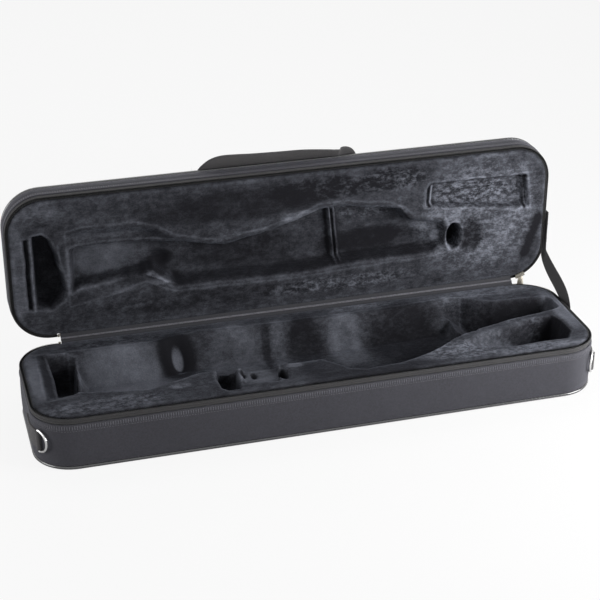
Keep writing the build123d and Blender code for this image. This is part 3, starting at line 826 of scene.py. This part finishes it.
def from_line(x, y, start, end):
    """How far each place lies from the line between two points."""
    run_x, run_y = end[0] - start[0], end[1] - start[1]
    share = np.clip(((x - start[0]) * run_x + (y - start[1]) * run_y) / (run_x ** 2 + run_y ** 2), 0, 1)
    return np.hypot(x - start[0] - share * run_x, y - start[1] - share * run_y)


def inside_outline(points, x, y):
    """How far inside an outline each place lies, in millimetres, or outside where negative."""
    nearest = np.full(x.shape, np.inf)
    within = np.zeros(x.shape, bool)
    tiny = 1e-12              # keeps a level side from a division by zero
    for start, end in zip(points, points[1:] + points[:1]):
        nearest = np.minimum(nearest, from_line(x, y, start, end))
        (ax, ay), (bx, by) = start, end
        within ^= ((ay > y) != (by > y)) & (x < (bx - ax) * (y - ay) / (by - ay + tiny) + ax)
    return np.where(within, nearest, -nearest)


def eased(share):
    """0 below 0, 1 above 1, and smooth in between."""
    share = np.clip(share, 0, 1)
    return share * share * (3 - 2 * share)


def hump(away, wide):
    """1 in the middle of a rounded hump, and almost nothing at twice its width."""
    return np.exp(-(away / wide) ** 2)


def softened(grid, rounds):
    """Blurs heights between neighbours, as plush rounds off what the foam has."""
    for _ in range(rounds):
        around = np.pad(grid, 1, mode="edge")
        grid = (around[:-2, 1:-1] + around[2:, 1:-1] + around[1:-1, :-2] + around[1:-1, 2:] + 4 * grid) / 8
    return grid


def rumpled(x, y, size, seed):
    """Smooth unevenness from -1 to 1 at that size in millimetres."""
    heights = [noise.noise((a / size, b / size, seed)) for a, b in zip(x.flat, y.flat)]
    return np.array(heights).reshape(x.shape)


def crushed_plush(name, dark, light):
    """Velvet pile: blotches a few millimetres wide where it was pressed the other way, over the
    pile's lie and the painted light and shade that each block carries.
    """
    finish, surface, wire = new_finish(name, {
        "Sheen Weight": 0.15, "Sheen Roughness": 0.35, "Sheen Tint": (0.62, 0.68, 0.85, 1),
        "Specular IOR Level": 0.12, "Roughness": 0.85})
    at = place_in_object(wire)
    pile_and_painted_light, crush = (
        wire.node("ShaderNodeAttribute", {"attribute_name": layer}, out=2) for layer in ("pile_and_painted_light", "crush"))
    blotch = mottle(at, 24 * mm, 4.0, 0.55)
    clump = mottle(at, 5.6 * mm, 6.0, 0.72, squeeze=(0.7, 1.15, 1.15))
    speck = mottle(at, 2.0 * mm, 3.0, 0.6)
    fibre = mottle(at, 0.8 * mm, 2.0)
    patches = clump.between(0.36, 0.66)
    dots = speck.between(0.54, 0.70)
    mottled = (patches - 0.48) * 0.50 - (dots - 0.15) * 0.26
    # the attribute read here carries the pile's lie together with painted light and shade
    tone = pile_and_painted_light * 0.27 + 0.33 + (crush + 0.34) * mottled
    tone = tone + (blotch - 0.5) * 0.5 + (speck - 0.5) * 0.36 + (fibre - 0.5) * 0.2
    tone = tone.math("MAXIMUM", tone, 0.0)
    (tone * tone).shade(dark, light).feed(surface, "Base Color")
    raised(patches * 0.5 + speck * 0.8 + fibre * 0.4 + blotch * 0.6, 0.9 * mm, 0.5, surface)
    return finish


def pressed_foam(half, x, y, edge, seed):
    """How deep the foam is pressed at each place of a half, how light its pile lies there with the
    painted light and shade on it, and how much it is crushed. edge is how far each place is
    from the block's edge."""
    wander_x = x + pocket_wander * rumpled(x, y, 26, seed)
    wander_y = y + pocket_wander * rumpled(x, y, 26, seed + 5)
    depth, pile_and_shade, crushed = np.zeros(x.shape), np.zeros(x.shape), np.zeros(x.shape)
    # the pile's lie, with painted light where light falls on the block and painted shade in hollows
    for (mid_x, mid_y), (half_x, half_y), strength, more in pile_lie_and_painted_light[half.name]:
        away = np.hypot((wander_x - mid_x) / half_x, (wander_y - mid_y) / half_y)
        near = 1 - eased((away - 0.55) / 0.6)
        pile_and_shade += strength * near
        crushed += more * near
    # streaks of the pile, with painted highlights and painted shade such as the stay's shadow
    for start, end, wide, strength in pile_and_shade_streaks[half.name]:
        pile_and_shade += strength * hump(from_line(x, y, start, end), wide)
    for points, deep, front_slope, back_slope, floor in pocket_shapes[half.name]:
        inside = inside_outline(points, wander_x, wander_y)
        slope = front_slope + (back_slope - front_slope) * eased((y - 8) / 30)
        share = np.interp(x, *zip(*floor))
        shown = share * (depth < min(deep * 0.6, 10))
        depth = np.maximum(depth, deep * share * eased(inside / slope))
        # painted highlight along the lip, painted shade down a steep wall, and a low swelling round the
        # pocket
        pile_and_shade += 0.6 * hump(inside + 2.0, 1.7) * shown
        pile_and_shade -= 0.5 * hump(inside - slope * 0.5, slope * 0.4) * shown * (slope < steep_wall)
        depth -= 0.9 * hump(inside + 4.0, 2.6) * (depth < 1)
    for (mid_x, mid_y), (half_x, half_y), deep, slope in hollows[half.name]:
        inside = 1 - np.hypot((wander_x - mid_x) / half_x, (wander_y - mid_y) / half_y)
        sunk = deep * eased(inside / slope)
        depth = np.maximum(depth, sunk) if deep > deep_hollow else depth + sunk
        # a painted highlight round the rim of a deep hollow
        pile_and_shade += 0.5 * hump(inside + 0.16, 0.09) * (deep > deep_hollow)
    # each ridge gets a painted highlight along its top and painted shade beside it
    for start, end, height, wide in ridges[half.name]:
        away = from_line(x, y, start, end)
        pile_and_shade += (hump(away, wide) - 0.7 * hump(away - 2.2 * wide, wide)) * (depth > 3)
        depth -= height * hump(away, wide) * eased(depth / (height + 2))
    depth = softened(depth, 2)
    depth += 0.6 * rumpled(x, y, 34, seed + 9) * np.clip(edge / 8, 0, 1) + 0.2 * rumpled(x, y, 7, seed + 3)
    depth = np.clip(depth, -1.2, half.depth / mm - plush_floor)
    # the lip is rounded off all the way, apart from beside the hinge
    at_hinge = (y > 60) * (np.abs(x) < hinge_half / mm)
    lip = np.clip(plush_lip - edge - plush_lip * at_hinge, 0, plush_lip)
    depth += plush_lip - np.sqrt(plush_lip ** 2 - lip ** 2)
    # a painted highlight along the rounded lip, and painted shade at the block's very edge
    pile_and_shade += 0.25 * eased(1 - np.abs(edge - 4) / 4) - 0.9 * eased(1 - edge / 1.8) * ~at_hinge
    return depth, pile_and_shade, crushed


def plush_block(half, seed):
    """Presses the pockets into a sheet over the half's plan, and closes it below the lip."""
    sheet = plan_sheet(plush_inset, plush_columns, plush_rows)
    pile_and_painted_light = sheet.verts.layers.float.new("pile_and_painted_light")
    crush = sheet.verts.layers.float.new("crush")
    order = sorted(sheet.verts, key=lambda vert: vert.index)
    for vert in order:
        if vert.co.y > 0:
            vert.co.y *= (half_width - plush_back_inset) / (half_width - plush_inset)
    shape = (plush_rows + 1, plush_columns + 1)
    x, y = (np.array([vert.co[axis] for vert in order]).reshape(shape) / mm for axis in range(2))
    edge = np.array([-outside(vert.co.x, vert.co.y) for vert in order]).reshape(shape) / mm
    pressed = pressed_foam(half, x, y, edge - plush_inset / mm, seed)
    for vert, deep, pile_and_shade_here, more in zip(order, *(grid.flat for grid in pressed)):
        vert.co.z = deep * mm
        vert[pile_and_painted_light] = float(pile_and_shade_here)
        vert[crush] = float(more)
    border = [part for part in sheet.edges if part.is_boundary]
    bottom = half.depth - block_bottom_up
    for inset, deep in ((plush_inset, plush_seam), (block_inset, plush_seam), (block_inset, bottom)):
        made = bmesh.ops.extrude_edge_only(sheet, edges=border)["geom"]
        new_verts = {part for part in made if isinstance(part, bmesh.types.BMVert)}
        for vert in new_verts:
            flat = vert.co.xy
            core = Vector([min(max(at, -end), end) for at, end in zip(flat, (straight_x, straight_y))])
            now = -outside(*flat)
            flat -= (flat - core).normalized() * (max(inset, now) - now)
            vert.co = (*flat, deep)
        border = [part for part in made
                  if isinstance(part, bmesh.types.BMEdge) and set(part.verts) <= new_verts]
    bmesh.ops.contextual_create(sheet, geom=border)
    block = finished(sheet, f"{half.name}_plush", plush, half, crease=180)
    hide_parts(f"{half.name}_insert")


plush = crushed_plush("charcoal_plush", *plush_colours)
plush_block(base, 2.0)
plush_block(lid, 31.0)


# The divider: a thin board wrapped in the same plush, that stands across the bay and parts
# the mouthpiece's place from the instrument's narrow end.
divider_low, divider_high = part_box("bay_divider")
divider_ends = Vector((divider_low.x, -27.5 * mm)), Vector((divider_high.x, 3.6 * mm))
divider_thick = 8.0 * mm
divider_rounding = 3.6 * mm
divider_run = divider_ends[1] - divider_ends[0]
divider_size = (divider_run.length, divider_thick, divider_high.z - divider_low.z)


def rounded_block(size, rounding, segments):
    """A block of those three measures, with its edges rounded."""
    block = bmesh.new()
    bmesh.ops.create_cube(block, size=1)
    bmesh.ops.scale(block, vec=size, verts=block.verts)
    bmesh.ops.bevel(block, geom=block.edges[:], offset=rounding, segments=segments, profile=0.5,
                    affect="EDGES", material=-1)
    return block


divider_shape = rounded_block(divider_size, divider_rounding, 5)
long_edges = [part for part in divider_shape.edges if part.calc_length() > 20 * mm]
bmesh.ops.subdivide_edges(divider_shape, edges=long_edges, cuts=40, use_grid_fill=True)
for vert in divider_shape.verts:
    vert.co.y += noise.noise(vert.co / (22 * mm)) * 0.5 * mm
    vert.co.z += noise.noise(vert.co / (30 * mm) + Vector((7, 0, 0))) * 0.4 * mm
middle = (divider_ends[0] + divider_ends[1]) / 2
turn = math.atan2(divider_run.y, divider_run.x)
place = placed(middle.x, middle.y, (divider_low.z + divider_high.z) / 2, turn)
bmesh.ops.transform(divider_shape, matrix=place, verts=divider_shape.verts)
divider = finished(divider_shape, "plush_divider", plush, body="base", crease=180)
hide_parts("bay_divider")


# The ring tabs: a short length of webbing on each end wall, folded round the ring's bar at
# the front corner and sewn down. The solids have their shape.
web_dark, web_light = (0.026, 0.025, 0.0265), (0.098, 0.094, 0.097)
web_rib, web_cord = 1.5, 2.1                  # from one to the next, in millimetres
box_stitch = (2.3 * mm, 0.3 * mm)             # length and half thickness
box_pitch = 2.9 * mm
tab_face = half_length + 2.55 * mm


def webbing(name, axes=None):
    """Woven webbing: close ribs across it in a herringbone, and cords along it."""
    finish, surface, wire = new_finish(name, {
        "Sheen Weight": 0.3, "Sheen Roughness": 0.4, "Specular IOR Level": 0.4,
        "Sheen Tint": (0.9, 0.88, 0.88, 1)})
    along, across = on_cloth(wire, axes)
    zigzag = across.math("PINGPONG", across, web_cord)
    ribs = along.math("SINE", (along + zigzag) * (2 * math.pi / web_rib)).between(-1.0, 1.0)
    cords = across.math("SINE", across * (2 * math.pi / web_cord)).between(-1.0, 1.0)
    lint = mottle(place_in_object(wire), 1.4 * mm, 3.0)
    (ribs * 0.32 + cords * 0.2 + lint * 0.5 - 0.05).shade(web_dark, web_light).feed(surface, "Base Color")
    (0.55 + lint * 0.25).feed(surface, "Roughness")
    raised(ribs * 0.7 + cords * 0.5 + lint * 0.3, 0.22 * mm, 0.6, surface)
    return finish


def stitched_box(x, ys, zs, row_ys, row_zs):
    """The places of a box of stitches on an end wall: rows at both zs, and at both ys."""
    places = [placed(x, y, z, math.pi / 2, "Z") for z in zs for y in row_ys]
    return places + [placed(x, y, z, math.pi / 2, "Y") for y in ys for z in row_zs]


tab_webbing = webbing("tab_webbing", axes=(1, 2))
for side in ("left", "right"):
    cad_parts[f"{side}_ring_tab"].data.materials[0] = tab_webbing
    tab_low, tab_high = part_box(f"{side}_ring_tab")
    ys = (tab_high.y - 22 * mm, tab_high.y - 3 * mm)
    zs = (tab_low.z + 2.5 * mm, tab_high.z - 2.5 * mm)
    rows = [np.arange(low + 1.5 * mm, high, box_pitch) for low, high in (ys, zs)]
    places = stitched_box(math.copysign(tab_face, tab_low.x), ys, zs, *rows)
    tab_rows = repeated(one_stitch(*box_stitch), places)
    finished(tab_rows, f"{side}_tab_stitches", thread, body="base", crease=80)


# The rings: nickel-plated steel wire bent to a D, its ends welded behind the bar. They swing
# in the tabs' loops, and hang against the corner walls.
ring_steel, ring_surface, wire = new_finish("nickel_plate", {"Metallic": 1.0})
at = place_in_object(wire)
smear = mottle(at, 5 * mm, 4.0)
hairs = mottle(at, 0.5 * mm, 3.0, squeeze=(1, 1, 0.15))
smear.shade((0.62, 0.62, 0.63), (0.84, 0.83, 0.82)).feed(ring_surface, "Base Color")
(0.12 + smear * 0.12 + hairs * 0.06).feed(ring_surface, "Roughness")
raised(hairs, 0.02 * mm, 0.3, ring_surface)
for side in ("left", "right"):
    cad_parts[f"{side}_d_ring"].data.materials[0] = ring_steel


# The stay: flat webbing sewn to the lid's and the base's right end walls. It hangs slack in
# an S, and keeps the lid from falling back.
stay_low, stay_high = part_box("stay_strap")
stay_thick = 1.4 * mm
stay_width = 18.0 * mm
stay_twist = math.radians(20)
stay_points = (
    # y, z and how far out of the wall's plane, in millimetres
    (19.0, 37.5, 0.0), (19.0, 48.0, 0.0), (21.5, 57.0, 0.2), (28.5, 67.0, 1.0), (41.0, 75.5, 1.8),
    (58.0, 82.5, 2.0), (76.0, 89.0, 1.6), (91.0, 95.5, 1.2), (101.5, 102.5, 0.8), (106.4, 110.5, 0.4),
    (107.5, 121.0, 0.1), (107.6, 133.0, 0.0), (107.6, 152.0, 0.0), (107.6, 169.0, 0.0),
)


def smooth_way(points, count):
    """Evenly many points of a smooth line that goes through all the given ones."""
    before = 2 * Vector(points[0]) - Vector(points[1])
    after = 2 * Vector(points[-1]) - Vector(points[-2])
    ends = [before, *map(Vector, points), after]
    line = []
    for step in range(count + 1):
        way = step / count * (len(points) - 1)
        index = min(int(way), len(points) - 2)
        t = way - index
        a, b, c, d = ends[index:index + 4]
        slope, curve, twist = c - a, 2 * a - 5 * b + 4 * c - d, 3 * b - a - 3 * c + d
        line.append(0.5 * (2 * b + slope * t + curve * t * t + twist * t ** 3))
    return line


def run_at(line, index):
    """Which way a line of points runs at one of them."""
    return line[min(index + 1, len(line) - 1)] - line[max(index - 1, 0)]


def ribbon(line, across, width, thick):
    """A flat strap along a line. across gives the direction of its width at each point."""
    strap = bmesh.new()
    cloth = strap.loops.layers.uv.new("cloth")
    count = len(line) - 1
    bmesh.ops.create_grid(strap, x_segments=count, y_segments=8, size=1)
    lengths = np.concatenate(([0], np.cumsum([(b - a).length for a, b in zip(line, line[1:])])))
    for face in strap.faces:
        for loop in face.loops:
            index = round((loop.vert.co.x + 1) / 2 * count)
            loop[cloth].uv = (lengths[index], (loop.vert.co.y + 1) / 2 * width)
    for vert in strap.verts:
        index = round((vert.co.x + 1) / 2 * count)
        ahead = run_at(line, index).normalized()
        side = (across[index] - across[index].dot(ahead) * ahead).normalized()
        bowed = ahead.cross(side) * (1 - vert.co.y ** 2) * 0.12 * thick
        vert.co = line[index] + side * vert.co.y * width / 2 + bowed
    bmesh.ops.solidify(strap, geom=strap.faces[:], thickness=thick)
    rims = [edge for edge in strap.edges if edge.calc_face_angle(0) > math.radians(60)]
    bmesh.ops.bevel(strap, geom=rims, offset=thick * 0.3, segments=2, profile=0.5, affect="EDGES",
                    material=-1)
    return strap


strap_webbing = webbing("strap_webbing")
stay_middle = (stay_low.x + stay_high.x) / 2 + stay_thick / 2
stay_line = [Vector((stay_middle + out * mm, y * mm, z * mm)) for y, z, out in smooth_way(stay_points, 90)]
stay_across = []
for index in range(len(stay_line)):
    ahead = run_at(stay_line, index)
    twist = stay_twist * math.sin(math.pi * min(index / (0.7 * len(stay_line)), 1))
    sideways = Vector((0, -ahead.z, ahead.y)).normalized()
    stay_across.append(sideways * math.cos(twist) + Vector((math.sin(twist), 0, 0)))
stay_shape = ribbon(stay_line, stay_across, stay_width, stay_thick)
stay = finished(stay_shape, "stay_webbing", strap_webbing, crease=50)
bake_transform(stay)
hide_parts("stay_strap")
stay_ends = (
    # the half, the middle of its sewn end, and the lowest row of stitches on it
    (base, 19 * mm, stay_low.z + 2 * mm),
    (lid, 107.6 * mm, stay_high.z - 13 * mm),
)
for half, mid_y, low_z in stay_ends:
    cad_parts[f"{half.name}_stay_end"].data.materials[0] = tab_webbing
    ys, zs = (mid_y - 5.8 * mm, mid_y + 5.8 * mm), (low_z, low_z + 10 * mm)
    row_ys = [mid_y + y * mm for y in (-4.4, -1.5, 1.5, 4.4)]
    row_zs = [low_z + z * mm for z in (1.6, 5.0, 8.4)]
    places = stitched_box(stay_high.x + 0.05 * mm, ys, zs, row_ys, row_zs)
    stay_rows = repeated(one_stitch(*box_stitch), places)
    finished(stay_rows, f"{half.name}_stay_stitches", thread, body=half.name, crease=80)


# The hinge's lining: a strip of the cover's cloth that closes the gap between the two blocks
# from the inside. It lies folded between the halves, and on its fold has a narrow welt of lighter cloth,
# partly a painted highlight where the fold catches the light.
lining_ends = (-301.0 * mm, 313.5 * mm)
lining_thick = 0.6 * mm
welt_low, welt_high = 74.1 * mm, 75.3 * mm
lining_points = (
    # y and z in millimetres, from the base's rim to the lid's
    (90.4, 66.0), (90.7, 69.3), (92.0, 70.3), (94.0, 71.6), (95.2, 72.4), (95.5, 74.6), (97.3, 75.0),
    (97.8, 75.4), (99.1, 76.7), (100.4, 78.7), (101.4, 80.0), (104.7, 80.3),
)
lining_middle = (lining_ends[0] + lining_ends[1]) / 2
lining_line = [Vector((lining_middle, y * mm, z * mm)) for y, z in smooth_way(lining_points, 44)]
lining_across = [Vector((1, 0, 0))] * len(lining_line)
lining_shape = ribbon(lining_line, lining_across, lining_ends[1] - lining_ends[0], lining_thick)
lining_cloth = woven("lining_cloth", (0.008, 0.008, 0.010), (0.036, 0.036, 0.043))
welt_cloth_with_highlight = woven("welt_cloth_with_highlight", (0.040, 0.040, 0.046), (0.19, 0.188, 0.21))
# the faces on the fold get the welt's lighter cloth, partly a painted highlight
for face in lining_shape.faces:
    face.material_index = int(welt_low < face.calc_center_median().z < welt_high)
lining = finished(lining_shape, "hinge_lining", lining_cloth, crease=60)
lining.data.materials.append(welt_cloth_with_highlight)
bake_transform(lining)


# The handle: 25 mm webbing. Its ends are sewn on the lid's outer face near the front wall,
# with a box of stitches each. The grip stands up past the wall in a flat arch that leans
# over it, and at its right end the webbing is folded over itself.
handle_low, handle_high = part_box("handle_grip")
patch_low, patch_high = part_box("handle_patches")
web_width = 25.0 * mm
web_thick = 2.2 * mm
patch_y = (patch_low.y + patch_high.y) / 2 + 0.1 * mm
grip_y = (handle_low.y + handle_high.y) / 2
left_foot, right_foot = handle_low.x + web_width / 2, handle_high.x - web_width / 2
foot_z = patch_high.z + 0.3 * mm
grip_points = (
    # from the left foot: x from that foot, z above it and how far out, in millimetres, and
    # how many degrees the webbing's upper edge leans over the lid
    (0.0, 0.0, 0.3, 0), (-0.5, 9.0, 0.5, 0), (0.2, 16.0, 0.4, 4), (2.5, 22.5, -0.6, 12),
    (7.0, 30.0, -2.4, 20), (14.5, 37.0, -4.4, 27), (25.0, 40.6, -5.8, 32), (42.0, 40.6, -6.2, 33),
    (64.0, 39.4, -6.2, 33), (98.0, 38.4, -6.2, 33), (130.0, 37.6, -6.2, 33), (160.0, 34.7, -6.2, 33),
    (172.0, 32.6, -5.8, 30), (180.0, 31.0, -4.8, 22), (187.0, 31.4, -3.0, 10), (192.5, 27.6, -1.0, 0),
    (195.6, 20.0, 0.8, 0), (196.4, 10.0, 0.6, 0), (196.0, 0.0, 0.3, 0),
)
grip_scale = (right_foot - left_foot) / (grip_points[-1][0] * mm)
grip_way = smooth_way(grip_points, 130)
grip_line = [Vector((left_foot + x * grip_scale * mm, grip_y + out * mm, foot_z + z * mm))
             for x, z, out, _ in grip_way]
grip_across = []
for index, (_, _, _, lean) in enumerate(grip_way):
    ahead = run_at(grip_line, index)
    upward = Vector((ahead.z, 0, -ahead.x)).normalized()
    lean = math.radians(lean)
    grip_across.append(upward * math.cos(lean) + Vector((0, math.sin(lean), 0)))
grip_shape = ribbon(grip_line, grip_across, web_width, web_thick)
grip = finished(grip_shape, "handle_webbing", strap_webbing, body="handle", crease=50)
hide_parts("handle_grip")

foot_steps = 12
foot_rise = patch_high.z - patch_low.z
feet = bmesh.new()
foot_mesh = bpy.data.meshes.new("handle_foot")
for foot_x in (left_foot, right_foot):
    foot_line = [Vector((foot_x, patch_y, patch_low.z + step / foot_steps * foot_rise))
                 for step in range(foot_steps + 1)]
    foot = ribbon(foot_line, [Vector((1, 0, 0))] * len(foot_line), web_width, web_thick)
    foot.to_mesh(foot_mesh)
    foot.free()
    feet.from_mesh(foot_mesh)
bpy.data.meshes.remove(foot_mesh)
handle_feet = finished(feet, "handle_feet", strap_webbing, body="lid", crease=50)
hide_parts("handle_patches")
stitch_y = patch_y + web_thick / 2 + 0.15 * mm
handle_stitch = (2.3 * mm, 0.32 * mm)
box_half = 9 * mm
box_rise = (patch_low.z + 3 * mm, patch_high.z - 4 * mm)
places = []
for foot_x in (left_foot, right_foot):
    # the four sides of a box and its two diagonals
    corners = itertools.product((foot_x - box_half, foot_x + box_half), box_rise)
    for start, end in itertools.combinations(map(Vector, corners), 2):
        count = round((end - start).length / box_pitch)
        slope = math.atan2(end.y - start.y, end.x - start.x)
        for index in range(count):
            x, z = start.lerp(end, (index + 0.5) / count)
            places.append(placed(x, stitch_y, z, -slope, "Y"))
rows = repeated(one_stitch(*handle_stitch), places)
finished(rows, "handle_stitches", thread, body="lid", crease=80)


# The slider and its pull: cast zinc with a worn pale plating. The slider rides on the lid's
# coil, and the pull, a small tapered plate, hangs from its pin.
slider_metal, slider_surface, wire = new_finish("pale_plating", {"Metallic": 1.0})
at = place_in_object(wire)
worn = mottle(at, 2.5 * mm, 5.0)
pits = mottle(at, 0.6 * mm, 3.0)
worn.shade((0.45, 0.41, 0.34), (0.80, 0.76, 0.66)).feed(slider_surface, "Base Color")
(0.25 + worn * 0.2 + pits * 0.1).feed(slider_surface, "Roughness")
raised(pits, 0.04 * mm, 0.4, slider_surface)
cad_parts["zip_slider"].data.materials[0] = slider_metal
pull_low, pull_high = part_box("slider_pull")
pull_length, pull_width, pull_thick = 15.0 * mm, 10.0 * mm, 1.7 * mm
pull_taper = 0.35
pull_overlap = 0.5 * mm         # how far the plate reaches past the solid's upper end
pull_rounding = 0.5 * mm
pull_shape = rounded_block((pull_width, pull_thick, pull_length), pull_rounding, 2)
for vert in pull_shape.verts:
    vert.co.x *= 1 - pull_taper * (vert.co.z / pull_length + 0.5)
pull_middle = (pull_low.x + pull_high.x) / 2
bmesh.ops.translate(pull_shape, verts=pull_shape.verts, vec=(
    pull_middle, pull_low.y + pull_thick / 2, pull_high.z - pull_length / 2 + pull_overlap))
pull = finished(pull_shape, "pull_plate", slider_metal, body="pull", crease=40)
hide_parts("slider_pull")
